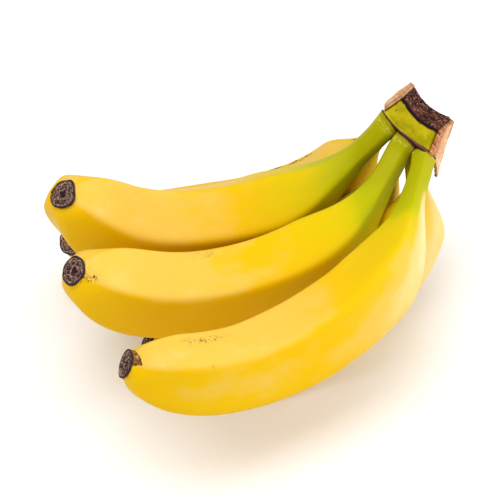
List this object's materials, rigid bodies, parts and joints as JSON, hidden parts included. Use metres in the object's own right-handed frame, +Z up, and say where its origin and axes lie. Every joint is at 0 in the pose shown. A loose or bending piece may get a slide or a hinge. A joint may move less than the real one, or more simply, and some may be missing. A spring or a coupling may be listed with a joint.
{
  "type": "bunch of bananas",
  "caption": "Hand of ripe curved yellow bananas in two rows, joined by green necks to one cut crown and lying on its bellies.",
  "frame": {"origin": "middle of the bounding box, on the table that the bunch lies on", "axes": "+Z up from the table; +X towards the crown's end; -Y towards the front row's lowest finger"},
  "size_m": [0.1949, 0.2021, 0.1052],
  "materials": {
    "peel": "satin, warm yellow with green necks",
    "crown_skin": "satin, olive green",
    "dried_cut": "rough, dried dark purple brown",
    "bare_wood": "rough, tan",
    "blossom_end": "rough, withered brown black"
  },
  "bodies": {
    "root": {"crown": "crown_skin", "crown_cut_top": "dried_cut", "crown_wood_left": "bare_wood", "crown_wood_right": "bare_wood", "banana_front_1": "peel", "blossom_end_front_1": "blossom_end", "banana_front_2": "peel", "blossom_end_front_2": "blossom_end", "banana_front_3": "peel", "blossom_end_front_3": "blossom_end", "banana_back_1": "peel", "blossom_end_back_1": "blossom_end", "banana_back_2": "peel", "blossom_end_back_2": "blossom_end", "banana_back_3": "peel", "blossom_end_back_3": "blossom_end"}
  },
  "joints": []
}
